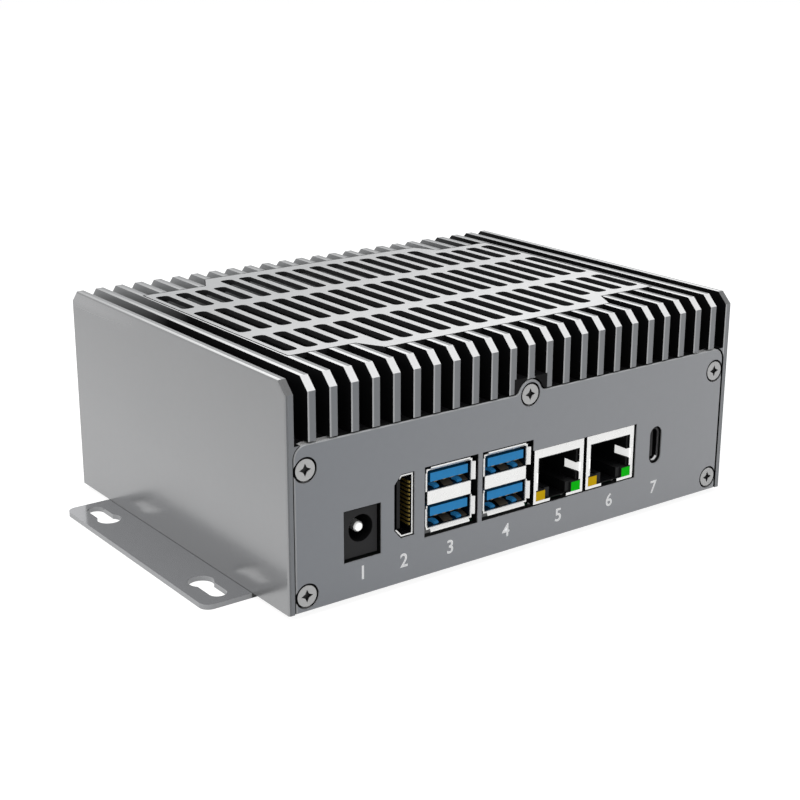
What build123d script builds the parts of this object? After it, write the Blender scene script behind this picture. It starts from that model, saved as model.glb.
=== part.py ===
from build123d import *
import os

os.makedirs("parts", exist_ok=True)

# A small computer in a finned aluminium case that cools itself without a fan.
# Sizes are in millimetres. X runs across the front, the sockets face -Y and Z is up.
# Every height and level in this list is counted from the underside of the case.

# Case: one extruded profile, open at the front, the rear and the underside
CASE_DEPTH = 101.0
CASE_HEIGHT = 52.4
FIN_PITCH = 5.5
FIN_COUNT = 25                  # the two outermost fins run on down as the side walls
FIN_THICKNESS = 2.0
GROOVE_FLOOR = 38.2             # level of the groove bottoms, the top of the deck
DECK_THICKNESS = 2.8
SPINE_TOP = 42.0                # raised floor of the two grooves beside the middle fin
TOP_CHAMFER = 2.8               # slope at the front and rear ends of the fins
WALL_EDGE_ROUND = 0.5
UPPER_RAIL_WIDTH = 7.5
UPPER_RAIL_HEIGHT = 7.0
LOWER_RAIL_WIDTH = 11.0
LOWER_RAIL_TOP = 7.6            # the main board lies on the lower rails

# Slotted cover plate, let into the tops of the fins
PLATE_THICKNESS = 1.2
PLATE_HALF_WIDTH = 55.2
PLATE_SIDE_HALF_LENGTH = 33.5
PLATE_MIDDLE_HALF_LENGTH = 40.1
PLATE_MIDDLE_HALF_WIDTH = 34.0
PLATE_SLOPE_WIDTH = 3.5
PLATE_GAP = 0.4
SLOT_WIDTH = 3.6
SLOT_CORNER_ROUND = 1.2
SLOT_COLUMNS = 20
LONG_SLOT_COLUMNS = 12
INNER_SLOT_HALF = 11.2
OUTER_SLOT_START = 15.5
OUTER_SLOT_END_SHORT = 30.4
OUTER_SLOT_END_LONG = 36.4

# Front and rear panels
PANEL_THICKNESS = 2.0
PANEL_WIDTH = 130.2
PANEL_HEIGHT = 38.2
PANEL_CORNER_ROUND = 3.0
TAB_RADIUS = 3.6
TAB_LEVEL = 37.7
TAB_FILLET = 1.5
PANEL_GAP = 0.35
PANEL_EDGE_BREAK = 0.25

# Panel screws, with low round heads in counterbores
PANEL_SCREW_X = 62.3
PANEL_SCREW_LOW = 3.6
PANEL_SCREW_HIGH = 32.5
COUNTERBORE_RADIUS = 2.95
COUNTERBORE_DEPTH = 1.25
HEAD_RADIUS = 2.45
HEAD_HEIGHT = 1.15
SHANK_RADIUS = 1.46
THREAD_RADIUS = 1.5
CLEARANCE_RADIUS = 1.65
SHANK_LENGTH = 8.0
CROSS_REACH = 1.5               # from the middle of a head to a point of its recess
CROSS_WAIST = 0.5
CROSS_DEPTH = 0.7

# Bottom cover, between the walls and the panels
COVER_THICKNESS = 1.5
COVER_GAP = 0.2
COVER_SCREW_X = 58.0
COVER_SCREW_INSET = 6.5         # from the back of a panel

# Mounting ears: two flat strips under the case with keyholes
EAR_THICKNESS = 1.2
EAR_REACH = 79.1
EAR_INNER_EDGE = 53.0
EAR_LENGTH = 70.5
EAR_CORNER_ROUND = 2.5
EAR_SCREW_X = 59.0
EAR_SCREW_Y = 14.0
KEYHOLE_INSET = 6.0             # from the outer edge of an ear
KEYHOLE_MOUTH_Y = 23.1
KEYHOLE_MOUTH_RADIUS = 3.0
KEYHOLE_END_Y = 30.5
KEYHOLE_SLOT_WIDTH = 4.2

# Flat screws from below
SINK_DEPTH = 1.0
LOW_SCREW_LENGTH = 6.0

# Main board
BOARD_THICKNESS = 1.6
BOARD_HALF_WIDTH = 60.0
BOARD_FRONT_GAP = 0.3
BOARD_REAR_GAP = 2.5
BOARD_CORNER_ROUND = 1.5
BOARD_SCREW_X = 57.4
BOARD_SCREW_INSET = 12.5        # from the back of a panel
BOARD_SCREW_LENGTH = 3.0
BOARD_HEAD_HEIGHT = 1.6
SOCKET_REST = BOARD_THICKNESS + LOWER_RAIL_TOP

# Power inlet
JACK_X = -47.7
JACK_WIDTH = 8.8
JACK_HEIGHT = 11.1
JACK_LENGTH = 14.0
JACK_SETBACK = 0.8
JACK_OPENING = (10.0, 12.2)
JACK_OPENING_MIDDLE = 14.7
JACK_BORE_RADIUS = 3.2
JACK_BORE_LEVEL = 15.7
JACK_BORE_DEPTH = 9.5
JACK_PIN_RADIUS = 1.25
JACK_PIN_SETBACK = 0.7
JACK_PIN_BEVEL = 0.3

# Video socket, standing on its narrow side
VIDEO_RIGHT_X = -33.55
VIDEO_SHOULDER_X = -37.2
VIDEO_LEFT_X = -39.15
VIDEO_LOW = 10.85
VIDEO_HIGH = 26.1
VIDEO_BEVEL = 2.2
VIDEO_GAP = 0.3
VIDEO_WALL = 0.35
VIDEO_LENGTH = 12.0
VIDEO_BACK_LENGTH = 3.0
VIDEO_CUT_BACK = 1.5            # how far the left side of the shell ends behind its right side
VIDEO_TONGUE_X = -37.1
VIDEO_TONGUE_THICKNESS = 0.9
VIDEO_TONGUE_HEIGHT = 11.4
VIDEO_TONGUE_SETBACK = 1.0
VIDEO_LINER_THICKNESS = 0.3     # carries the contacts along the right side
VIDEO_CONTACT_COUNT = 11
VIDEO_CONTACT_PITCH = 1.0
VIDEO_CONTACT_WIDTH = 0.5
VIDEO_CONTACT_THICKNESS = 0.12

# Data sockets: two stacks of two
STACK_X = (-23.2, -6.5)
STACK_OPENING_WIDTH = 15.5
STACK_OPENING_SHIFT = 0.25
STACK_OPENING_TOP = 26.3
STACK_WIDTH = 13.2
STACK_LOW = 10.85
STACK_HIGH = 25.4
STACK_WALL = 0.35
STACK_LENGTH = 15.5
STACK_BACK_LENGTH = 4.0
STACK_SETBACK = 0.6
LIP_SETBACK = 0.1
LIP_REACH = 0.6                 # how far a lip flares out past its wall
LIP_WIDTH = 11.3
SIDE_LIP_HEIGHT = 4.4
BAND_LOW = 16.8
BAND_HIGH = 20.0
BAND_NOTCH_DEPTH = 2.0
BAND_NOTCH_MARGIN = 0.2
TONGUE_WIDTH = 10.8
TONGUE_THICKNESS = 2.1
TONGUE_DROP = 0.8               # from the top of an opening to its tongue
TONGUE_SETBACK = 0.15
DATA_CONTACT_COUNT = 4
DATA_CONTACT_PITCH = 2.4
DATA_CONTACT_SIZE = (1.0, 7.0, 0.15)

# Network sockets: two side by side
NETWORK_X = (10.0, 26.85)
NETWORK_OPENING_RIGHT = 35.4
NETWORK_OPENING_TOP = 23.5
SOCKET_OPENING_LOW = 9.3
NETWORK_WIDTH = 15.8
NETWORK_LOW = 9.6
NETWORK_HIGH = 23.3
NETWORK_WALL = 0.5
NETWORK_LENGTH = 15.5
NETWORK_SETBACK = 0.3
NETWORK_MOUTH_WIDTH = 13.2
NETWORK_MOUTH_HIGH = 21.1
NETWORK_SHELF = 13.0            # where the mouth widens for the two lamps
LAMP_ROW_WIDTH = 14.2
LAMP_ROW_LOW = 10.3
LATCH_WIDTH = 5.2
LATCH_DEPTH = 7.0
PLUG_WIDTH = 11.8
PLUG_HIGH = 20.7
PLUG_DEPTH = 12.0
LAMP_SIZE = (2.9, 3.0, 2.4)
SPRING_THICKNESS = 0.3
SPRING_LOW = 15.1
SPRING_HIGH = 17.3
SPRING_LENGTH = 4.6
SPRING_BEND = 0.55              # how far a spring leans in at its inner end

# Small oval socket
OVAL_X = 42.25
OVAL_LEVEL = 16.6
OVAL_OPENING = (9.8, 4.1)
OVAL_SIZE = (9.0, 3.3)
OVAL_WALL = 0.35
OVAL_SETBACK = 0.6
OVAL_LENGTH = 10.5
OVAL_BACK_LENGTH = 3.0
OVAL_TONGUE = (0.7, 6.6)
OVAL_TONGUE_SETBACK = 0.8

# Compute module, carried on a socket and two posts
MODULE_SIZE = (69.6, 45.0, 1.2)
MODULE_Y = 2.5
MODULE_LIFT = 4.8
MODULE_SOCKET_DEPTH = 6.0
POST_RADIUS = 2.6
POST_X = 30.0
POST_INSET = 5.0
CHIP_SIZE = (30.0, 30.0, 2.0)
MEMORY_SIZE = (9.0, 12.0, 1.0)
MEMORY_X = (-29.0, 29.0)
MEMORY_Y = (-5.0, 9.0)

# Heat path from the module up to the deck
PAD_THICKNESS = 0.5
HEAT_BLOCK_SIZE = (46.0, 38.0)

# Storage card
CARD_X = -46.5
CARD_SIZE = (22.0, 60.0, 0.8)
CARD_SOCKET_SIZE = (22.0, 5.0, 4.2)
CARD_FROM_PANEL = 19.5
CARD_LIFT = 2.4
CARD_CHIP_SIZE = (14.0, 18.0, 1.2)
CARD_CHIP_PITCH = 23.0

# Power parts on the board
COIL_SIZE = (7.0, 7.0, 4.0)
COIL_X = 44.0
COIL_PITCH = 11.0
COIL_COUNT = 4
CAPACITOR_RADIUS = 3.2
CAPACITOR_HEIGHT = 8.0
CAPACITOR_X = 54.0
CAPACITOR_PITCH = 9.0
CAPACITOR_COUNT = 5

# Sizes that follow from the ones above
case_width = (FIN_COUNT - 1) * FIN_PITCH + FIN_THICKNESS
wall_inside = case_width / 2 - FIN_THICKNESS
deck_bottom = GROOVE_FLOOR - DECK_THICKNESS
upper_rail_bottom = deck_bottom - UPPER_RAIL_HEIGHT
panel_seat = CASE_DEPTH / 2 - PANEL_THICKNESS
fin_height = CASE_HEIGHT - GROOVE_FLOOR
stack_height = STACK_HIGH - STACK_LOW
network_height = NETWORK_HIGH - NETWORK_LOW
stack_opening_height = STACK_OPENING_TOP - SOCKET_OPENING_LOW
panel_back = -panel_seat
cover_screw_y = panel_seat - COVER_SCREW_INSET
board_screw_y = panel_seat - BOARD_SCREW_INSET
keyhole_x = EAR_REACH - KEYHOLE_INSET
card_front_y = panel_back + CARD_FROM_PANEL
module_top = SOCKET_REST + MODULE_LIFT + MODULE_SIZE[2]
chip_top = module_top + CHIP_SIZE[2]
heat_block_bottom = chip_top + PAD_THICKNESS
heat_block_height = deck_bottom - PAD_THICKNESS - heat_block_bottom


def above(height):
    """Level of a point at this height over the underside of the case."""
    return EAR_THICKNESS + height


def between(low, high):
    """Level halfway between two heights over the underside of the case."""
    return above((low + high) / 2)


def behind_front(depth):
    """Upright plane this far behind the front face, drawn on in X and Z."""
    return Plane.XZ.offset(CASE_DEPTH / 2 - depth)


front_face = behind_front(0)
rear_face = behind_front(CASE_DEPTH)
lowest = (Align.CENTER, Align.CENTER, Align.MIN)
highest = (Align.CENTER, Align.CENTER, Align.MAX)
from_front = (Align.CENTER, Align.MIN, Align.MIN)

panel_screw_points = [(0, above(TAB_LEVEL))]
panel_screw_points += [(side * PANEL_SCREW_X, above(level))
                       for side in (-1, 1) for level in (PANEL_SCREW_LOW, PANEL_SCREW_HIGH)]
ear_screw_points = [(side * EAR_SCREW_X, end * EAR_SCREW_Y) for side in (-1, 1) for end in (-1, 1)]
cover_screw_points = [(side * COVER_SCREW_X, end * cover_screw_y) for side in (-1, 1) for end in (-1, 1)]
board_screw_points = [(side * BOARD_SCREW_X, end * board_screw_y) for side in (-1, 1) for end in (-1, 1)]


# Outlines that more than one piece shares

# Panel: a rectangle with rounded top corners and a round tab for the middle screw
with BuildSketch() as panel_outline:
    with Locations((0, between(0, PANEL_HEIGHT))):
        Rectangle(PANEL_WIDTH, PANEL_HEIGHT)
    fillet(panel_outline.vertices().group_by(Axis.Y)[-1], PANEL_CORNER_ROUND)
    with Locations((0, above(TAB_LEVEL))):
        Circle(TAB_RADIUS)
    necks = panel_outline.vertices().filter_by_position(Axis.X, -2 * TAB_RADIUS, 2 * TAB_RADIUS)
    fillet(necks.filter_by(lambda vertex: abs(vertex.Y - above(PANEL_HEIGHT)) < PANEL_GAP), TAB_FILLET)

# Cover plate: a long middle part with two shorter wings
with BuildSketch() as plate_outline:
    corner_list = [(PLATE_HALF_WIDTH, PLATE_SIDE_HALF_LENGTH),
                   (PLATE_MIDDLE_HALF_WIDTH + PLATE_SLOPE_WIDTH, PLATE_SIDE_HALF_LENGTH),
                   (PLATE_MIDDLE_HALF_WIDTH, PLATE_MIDDLE_HALF_LENGTH)]
    right_rear = corner_list
    left_rear = [(-x, y) for x, y in reversed(corner_list)]
    left_front = [(-x, -y) for x, y in corner_list]
    right_front = [(x, -y) for x, y in reversed(corner_list)]
    Polygon(*right_rear, *left_rear, *left_front, *right_front, align=None)

# Video socket: one long side is shorter, with a slope at each end
with BuildSketch() as video_outline:
    Polygon((VIDEO_RIGHT_X, above(VIDEO_LOW)),
            (VIDEO_RIGHT_X, above(VIDEO_HIGH)),
            (VIDEO_SHOULDER_X, above(VIDEO_HIGH)),
            (VIDEO_LEFT_X, above(VIDEO_HIGH - VIDEO_BEVEL)),
            (VIDEO_LEFT_X, above(VIDEO_LOW + VIDEO_BEVEL)),
            (VIDEO_SHOULDER_X, above(VIDEO_LOW)),
            align=None)

# Recess of a screw head: four points around a narrow waist
with BuildSketch() as cross_outline:
    Polygon((CROSS_REACH, 0), (CROSS_WAIST, CROSS_WAIST), (0, CROSS_REACH), (-CROSS_WAIST, CROSS_WAIST),
            (-CROSS_REACH, 0), (-CROSS_WAIST, -CROSS_WAIST), (0, -CROSS_REACH), (CROSS_WAIST, -CROSS_WAIST),
            align=None)


# Finned housing
with BuildPart() as finned_housing:
    with BuildSketch(Plane.XZ) as profile:
        with Locations((0, between(deck_bottom, GROOVE_FLOOR))):
            Rectangle(case_width, DECK_THICKNESS)
        with Locations((0, between(GROOVE_FLOOR, CASE_HEIGHT))):
            with GridLocations(FIN_PITCH, 0, FIN_COUNT, 1):
                Rectangle(FIN_THICKNESS, fin_height)
        with Locations((0, between(GROOVE_FLOOR, SPINE_TOP))):
            Rectangle(2 * FIN_PITCH, SPINE_TOP - GROOVE_FLOOR)
        for side in (-1, 1):
            with Locations((side * (case_width - FIN_THICKNESS) / 2, between(0, deck_bottom))):
                Rectangle(FIN_THICKNESS, deck_bottom)
            upper_rail_x = side * (wall_inside - UPPER_RAIL_WIDTH / 2)
            with Locations((upper_rail_x, between(upper_rail_bottom, deck_bottom))):
                Rectangle(UPPER_RAIL_WIDTH, UPPER_RAIL_HEIGHT)
            lower_rail_x = side * (wall_inside - LOWER_RAIL_WIDTH / 2)
            with Locations((lower_rail_x, between(COVER_THICKNESS, LOWER_RAIL_TOP))):
                Rectangle(LOWER_RAIL_WIDTH, LOWER_RAIL_TOP - COVER_THICKNESS)
    extrude(amount=CASE_DEPTH / 2, both=True)
    # Sloped ends of the fins
    with BuildSketch(Plane.YZ):
        for end in (-1, 1):
            Polygon((end * CASE_DEPTH / 2, above(CASE_HEIGHT)),
                    (end * (CASE_DEPTH / 2 - TOP_CHAMFER), above(CASE_HEIGHT)),
                    (end * CASE_DEPTH / 2, above(CASE_HEIGHT - TOP_CHAMFER)),
                    align=None)
    extrude(amount=case_width / 2, both=True, mode=Mode.SUBTRACT)
    # Steps that the front and rear panels lie in
    with BuildSketch(front_face):
        add(panel_outline.sketch)
        offset(amount=PANEL_GAP)
    extrude(amount=-PANEL_THICKNESS, mode=Mode.SUBTRACT)
    with BuildSketch(rear_face):
        add(panel_outline.sketch)
        offset(amount=PANEL_GAP)
    extrude(amount=PANEL_THICKNESS, mode=Mode.SUBTRACT)
    # Shallow pocket for the slotted cover plate
    with BuildSketch(Plane.XY.offset(above(CASE_HEIGHT))):
        add(plate_outline.sketch)
        offset(amount=PLATE_GAP)
    extrude(amount=-PLATE_THICKNESS, mode=Mode.SUBTRACT)
    # Threaded holes for the panel screws
    with BuildSketch(behind_front(PANEL_THICKNESS)):
        with Locations(panel_screw_points):
            Circle(THREAD_RADIUS)
    extrude(amount=-SHANK_LENGTH, mode=Mode.SUBTRACT)
    with BuildSketch(behind_front(CASE_DEPTH - PANEL_THICKNESS)):
        with Locations(panel_screw_points):
            Circle(THREAD_RADIUS)
    extrude(amount=SHANK_LENGTH, mode=Mode.SUBTRACT)
    # Threaded holes for the ears, the bottom cover and the main board
    with BuildSketch(Plane.XY.offset(above(COVER_THICKNESS))):
        with Locations(ear_screw_points + cover_screw_points):
            Circle(THREAD_RADIUS)
    extrude(amount=LOW_SCREW_LENGTH - COVER_THICKNESS, mode=Mode.SUBTRACT)
    with BuildSketch(Plane.XY.offset(above(LOWER_RAIL_TOP))):
        with Locations(board_screw_points):
            Circle(THREAD_RADIUS)
    extrude(amount=-BOARD_SCREW_LENGTH, mode=Mode.SUBTRACT)
    # Softened outer edges of the side walls
    wall_faces = finned_housing.faces().filter_by(Axis.X).sort_by(Axis.X)
    wall_edges = wall_faces[0].edges() + wall_faces[-1].edges()
    fillet(wall_edges.filter_by(lambda edge: edge.center().Z > above(COVER_THICKNESS)), WALL_EDGE_ROUND)
finned_housing.part.label = "finned_housing"
export_step(finned_housing.part, "parts/finned_housing.step")


# Slotted cover plate: three rows of slots, one column of slots over each groove
long_columns = (LONG_SLOT_COLUMNS - 1) / 2 * FIN_PITCH
with BuildPart() as slotted_top_cover:
    with BuildSketch(Plane.XY.offset(above(CASE_HEIGHT))):
        add(plate_outline.sketch)
        for column in range(SLOT_COLUMNS):
            x = (column - (SLOT_COLUMNS - 1) / 2) * FIN_PITCH
            outer_end = OUTER_SLOT_END_LONG if abs(x) <= long_columns else OUTER_SLOT_END_SHORT
            with Locations((x, 0)):
                RectangleRounded(SLOT_WIDTH, 2 * INNER_SLOT_HALF, SLOT_CORNER_ROUND, mode=Mode.SUBTRACT)
            for end in (-1, 1):
                with Locations((x, end * (OUTER_SLOT_START + outer_end) / 2)):
                    RectangleRounded(SLOT_WIDTH, outer_end - OUTER_SLOT_START, SLOT_CORNER_ROUND,
                                     mode=Mode.SUBTRACT)
    extrude(amount=-PLATE_THICKNESS)
slotted_top_cover.part.label = "slotted_top_cover"
export_step(slotted_top_cover.part, "parts/slotted_top_cover.step")


# Front panel with the openings for the sockets
stack_opening_x = [x + STACK_OPENING_SHIFT for x in STACK_X]
shared_opening_left = stack_opening_x[1] + STACK_OPENING_WIDTH / 2
shared_opening_width = NETWORK_OPENING_RIGHT - shared_opening_left
with BuildPart() as front_panel:
    with BuildSketch(front_face):
        add(panel_outline.sketch)
        with Locations((JACK_X, above(JACK_OPENING_MIDDLE))):
            Rectangle(*JACK_OPENING, mode=Mode.SUBTRACT)
        add(video_outline.sketch, mode=Mode.SUBTRACT)
        for x in stack_opening_x:
            with Locations((x, between(SOCKET_OPENING_LOW, STACK_OPENING_TOP))):
                Rectangle(STACK_OPENING_WIDTH, stack_opening_height, mode=Mode.SUBTRACT)
        with Locations((shared_opening_left, above(SOCKET_OPENING_LOW))):
            Rectangle(shared_opening_width, NETWORK_OPENING_TOP - SOCKET_OPENING_LOW,
                      align=(Align.MIN, Align.MIN), mode=Mode.SUBTRACT)
        with Locations((OVAL_X, above(OVAL_LEVEL))):
            SlotOverall(*OVAL_OPENING, rotation=90, mode=Mode.SUBTRACT)
    extrude(amount=-PANEL_THICKNESS)
    chamfer(front_panel.faces().sort_by(Axis.Y)[0].outer_wire().edges(), PANEL_EDGE_BREAK)
    with BuildSketch(front_face):
        with Locations(panel_screw_points):
            Circle(COUNTERBORE_RADIUS)
    extrude(amount=-COUNTERBORE_DEPTH, mode=Mode.SUBTRACT)
    with BuildSketch(front_face):
        with Locations(panel_screw_points):
            Circle(CLEARANCE_RADIUS)
    extrude(amount=-PANEL_THICKNESS, mode=Mode.SUBTRACT)
front_panel.part.label = "front_panel"
export_step(front_panel.part, "parts/front_panel.step")


# Rear panel, plain apart from its screws
with BuildPart() as rear_panel:
    with BuildSketch(rear_face):
        add(panel_outline.sketch)
    extrude(amount=PANEL_THICKNESS)
    chamfer(rear_panel.faces().sort_by(Axis.Y)[-1].outer_wire().edges(), PANEL_EDGE_BREAK)
    with BuildSketch(rear_face):
        with Locations(panel_screw_points):
            Circle(COUNTERBORE_RADIUS)
    extrude(amount=COUNTERBORE_DEPTH, mode=Mode.SUBTRACT)
    with BuildSketch(rear_face):
        with Locations(panel_screw_points):
            Circle(CLEARANCE_RADIUS)
    extrude(amount=PANEL_THICKNESS, mode=Mode.SUBTRACT)
rear_panel.part.label = "rear_panel"
export_step(rear_panel.part, "parts/rear_panel.step")


# Panel screws: the heads rest on the counterbore floors
with BuildPart() as front_panel_screws:
    with BuildSketch(behind_front(COUNTERBORE_DEPTH)):
        with Locations(panel_screw_points):
            Circle(HEAD_RADIUS)
    extrude(amount=HEAD_HEIGHT)
    with BuildSketch(behind_front(COUNTERBORE_DEPTH)):
        with Locations(panel_screw_points):
            Circle(SHANK_RADIUS)
    extrude(amount=-SHANK_LENGTH)
    with BuildSketch(behind_front(COUNTERBORE_DEPTH - HEAD_HEIGHT)):
        with Locations(panel_screw_points):
            add(cross_outline.sketch)
    extrude(amount=-CROSS_DEPTH, mode=Mode.SUBTRACT)
front_panel_screws.part.label = "front_panel_screws"
export_step(front_panel_screws.part, "parts/front_panel_screws.step")

with BuildPart() as rear_panel_screws:
    add(mirror(front_panel_screws.part, about=Plane.XZ, mode=Mode.PRIVATE))
rear_panel_screws.part.label = "rear_panel_screws"
export_step(rear_panel_screws.part, "parts/rear_panel_screws.step")


# Bottom cover, held on the lower rails
with BuildPart() as bottom_cover:
    with BuildSketch(Plane.XY.offset(above(0))):
        Rectangle(2 * (wall_inside - COVER_GAP), 2 * (panel_seat - COVER_GAP))
    extrude(amount=COVER_THICKNESS)
    with BuildSketch(Plane.XY.offset(above(0))):
        with Locations(ear_screw_points + cover_screw_points):
            Circle(CLEARANCE_RADIUS)
    extrude(amount=COVER_THICKNESS, mode=Mode.SUBTRACT)
    with Locations([(x, y, above(0)) for x, y in cover_screw_points]):
        Cone(HEAD_RADIUS, CLEARANCE_RADIUS, SINK_DEPTH, align=lowest, mode=Mode.SUBTRACT)
bottom_cover.part.label = "bottom_cover"
export_step(bottom_cover.part, "parts/bottom_cover.step")


# Mounting ears with keyholes that narrow towards their ends
def ear(side):
    """One flat strip that reaches out from under the case on the given side."""
    width = EAR_REACH - EAR_INNER_EDGE
    with BuildPart() as strip:
        with BuildSketch(Plane.XY):
            with Locations((side * (EAR_REACH + EAR_INNER_EDGE) / 2, 0)):
                RectangleRounded(width, EAR_LENGTH, EAR_CORNER_ROUND)
            for end in (-1, 1):
                with Locations((side * keyhole_x, end * KEYHOLE_MOUTH_Y)):
                    Circle(KEYHOLE_MOUTH_RADIUS, mode=Mode.SUBTRACT)
                with Locations((side * keyhole_x, end * (KEYHOLE_MOUTH_Y + KEYHOLE_END_Y) / 2)):
                    SlotCenterToCenter(KEYHOLE_END_Y - KEYHOLE_MOUTH_Y, KEYHOLE_SLOT_WIDTH,
                                       rotation=90, mode=Mode.SUBTRACT)
        extrude(amount=EAR_THICKNESS)
        with Locations([(side * EAR_SCREW_X, end * EAR_SCREW_Y) for end in (-1, 1)]):
            Cone(HEAD_RADIUS, CLEARANCE_RADIUS, SINK_DEPTH, align=lowest, mode=Mode.SUBTRACT)
            Cylinder(CLEARANCE_RADIUS, EAR_THICKNESS, align=lowest, mode=Mode.SUBTRACT)
    return strip.part


with BuildPart() as mounting_ear_left:
    add(ear(-1))
mounting_ear_left.part.label = "mounting_ear_left"
export_step(mounting_ear_left.part, "parts/mounting_ear_left.step")

with BuildPart() as mounting_ear_right:
    add(ear(1))
mounting_ear_right.part.label = "mounting_ear_right"
export_step(mounting_ear_right.part, "parts/mounting_ear_right.step")


# Flat screws from below
with BuildPart() as ear_screws:
    with Locations(ear_screw_points):
        Cone(HEAD_RADIUS, SHANK_RADIUS, SINK_DEPTH, align=lowest)
        Cylinder(SHANK_RADIUS, LOW_SCREW_LENGTH, align=lowest)
    with BuildSketch(Plane.XY):
        with Locations(ear_screw_points):
            add(cross_outline.sketch)
    extrude(amount=CROSS_DEPTH, mode=Mode.SUBTRACT)
ear_screws.part.label = "ear_screws"
export_step(ear_screws.part, "parts/ear_screws.step")

with BuildPart() as cover_screws:
    with Locations([(x, y, above(0)) for x, y in cover_screw_points]):
        Cone(HEAD_RADIUS, SHANK_RADIUS, SINK_DEPTH, align=lowest)
        Cylinder(SHANK_RADIUS, LOW_SCREW_LENGTH - EAR_THICKNESS, align=lowest)
    with BuildSketch(Plane.XY.offset(above(0))):
        with Locations(cover_screw_points):
            add(cross_outline.sketch)
    extrude(amount=CROSS_DEPTH, mode=Mode.SUBTRACT)
cover_screws.part.label = "cover_screws"
export_step(cover_screws.part, "parts/cover_screws.step")


# Main board on the lower rails, with its four screws
board_front_y = panel_back + BOARD_FRONT_GAP
board_rear_y = panel_seat - BOARD_REAR_GAP
board_length = board_rear_y - board_front_y
with BuildPart() as main_board:
    with BuildSketch(Plane.XY.offset(above(LOWER_RAIL_TOP))):
        with Locations((0, (board_front_y + board_rear_y) / 2)):
            RectangleRounded(2 * BOARD_HALF_WIDTH, board_length, BOARD_CORNER_ROUND)
        with Locations(board_screw_points):
            Circle(CLEARANCE_RADIUS, mode=Mode.SUBTRACT)
    extrude(amount=BOARD_THICKNESS)
main_board.part.label = "main_board"
export_step(main_board.part, "parts/main_board.step")

with BuildPart() as board_screws:
    with Locations([(x, y, above(SOCKET_REST)) for x, y in board_screw_points]):
        Cylinder(HEAD_RADIUS, BOARD_HEAD_HEIGHT, align=lowest)
        Cylinder(SHANK_RADIUS, BOARD_THICKNESS + BOARD_SCREW_LENGTH, align=highest)
    with BuildSketch(Plane.XY.offset(above(SOCKET_REST + BOARD_HEAD_HEIGHT))):
        with Locations(board_screw_points):
            add(cross_outline.sketch)
    extrude(amount=-CROSS_DEPTH, mode=Mode.SUBTRACT)
board_screws.part.label = "board_screws"
export_step(board_screws.part, "parts/board_screws.step")


# Power inlet: a block with a round bore and a pin on its axis
with BuildPart() as power_jack_body:
    with BuildSketch(behind_front(JACK_SETBACK)):
        with Locations((JACK_X, above(SOCKET_REST))):
            Rectangle(JACK_WIDTH, JACK_HEIGHT, align=(Align.CENTER, Align.MIN))
    extrude(amount=-JACK_LENGTH)
    with BuildSketch(behind_front(JACK_SETBACK)):
        with Locations((JACK_X, above(JACK_BORE_LEVEL))):
            Circle(JACK_BORE_RADIUS)
    extrude(amount=-JACK_BORE_DEPTH, mode=Mode.SUBTRACT)
power_jack_body.part.label = "power_jack_body"
export_step(power_jack_body.part, "parts/power_jack_body.step")

with BuildPart() as power_jack_pin:
    with BuildSketch(behind_front(JACK_SETBACK + JACK_BORE_DEPTH)):
        with Locations((JACK_X, above(JACK_BORE_LEVEL))):
            Circle(JACK_PIN_RADIUS)
    extrude(amount=JACK_BORE_DEPTH - JACK_PIN_SETBACK)
    chamfer(power_jack_pin.edges().group_by(Axis.Y)[0], JACK_PIN_BEVEL)
power_jack_pin.part.label = "power_jack_pin"
export_step(power_jack_pin.part, "parts/power_jack_pin.step")


# Video socket: a folded metal shell on a foot, a moulded core with a tongue and a liner, and its contacts
video_middle_x = (VIDEO_RIGHT_X + VIDEO_LEFT_X) / 2
video_width = VIDEO_RIGHT_X - VIDEO_LEFT_X
video_wall_inside = VIDEO_RIGHT_X - VIDEO_GAP - VIDEO_WALL
video_left_reach = VIDEO_SHOULDER_X - VIDEO_GAP - VIDEO_LEFT_X
with BuildPart() as video_socket_shell:
    with BuildSketch(behind_front(VIDEO_GAP)):
        add(video_outline.sketch)
        offset(amount=-VIDEO_GAP)
    extrude(amount=-VIDEO_LENGTH)
    with BuildSketch(behind_front(VIDEO_GAP)):
        add(video_outline.sketch)
        offset(amount=-VIDEO_GAP - VIDEO_WALL)
    extrude(amount=-VIDEO_LENGTH, mode=Mode.SUBTRACT)
    with BuildSketch(behind_front(PANEL_THICKNESS + BOARD_FRONT_GAP)):
        with Locations((video_middle_x, above(SOCKET_REST))):
            Rectangle(video_width / 2, VIDEO_LOW + VIDEO_GAP - SOCKET_REST, align=(Align.CENTER, Align.MIN))
    extrude(amount=-(VIDEO_LENGTH + VIDEO_GAP - PANEL_THICKNESS - BOARD_FRONT_GAP))
    with BuildSketch(behind_front(VIDEO_GAP)):
        with Locations((VIDEO_LEFT_X, above(VIDEO_LOW + VIDEO_BEVEL))):
            Rectangle(video_left_reach, VIDEO_HIGH - VIDEO_LOW - VIDEO_BEVEL, align=(Align.MIN, Align.MIN))
    extrude(amount=-VIDEO_CUT_BACK, mode=Mode.SUBTRACT)
video_socket_shell.part.label = "video_socket_shell"
export_step(video_socket_shell.part, "parts/video_socket_shell.step")

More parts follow.
